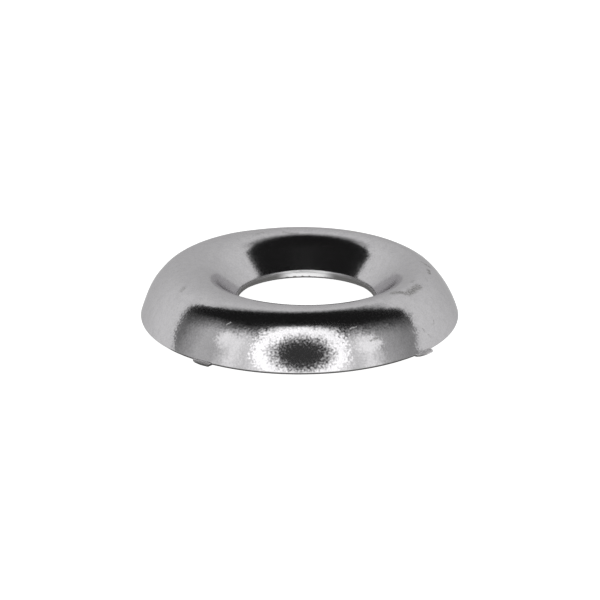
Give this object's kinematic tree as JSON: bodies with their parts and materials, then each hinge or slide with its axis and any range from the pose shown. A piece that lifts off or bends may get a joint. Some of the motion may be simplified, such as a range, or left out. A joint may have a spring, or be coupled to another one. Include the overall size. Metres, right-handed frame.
{
  "type": "finishing cup washer",
  "caption": "Pressed sheet-metal finishing cup washer: a domed ring with a flared skirt, a rounded crest and a countersunk hole that seats the head of a countersunk screw.",
  "frame": {"origin": "centre of the rim, in the plane on which it stands", "axes": "+Z along the axis of the hole, from the rim towards the crest and the screw's head; the small nibs of the rim lie towards -Y"},
  "size_m": [0.015, 0.015, 0.0023],
  "materials": {
    "bright_plate": "bright plated steel with fine pressed grain and light scuffs"
  },
  "bodies": {
    "root": {"cup_washer": "bright_plate"}
  },
  "joints": []
}
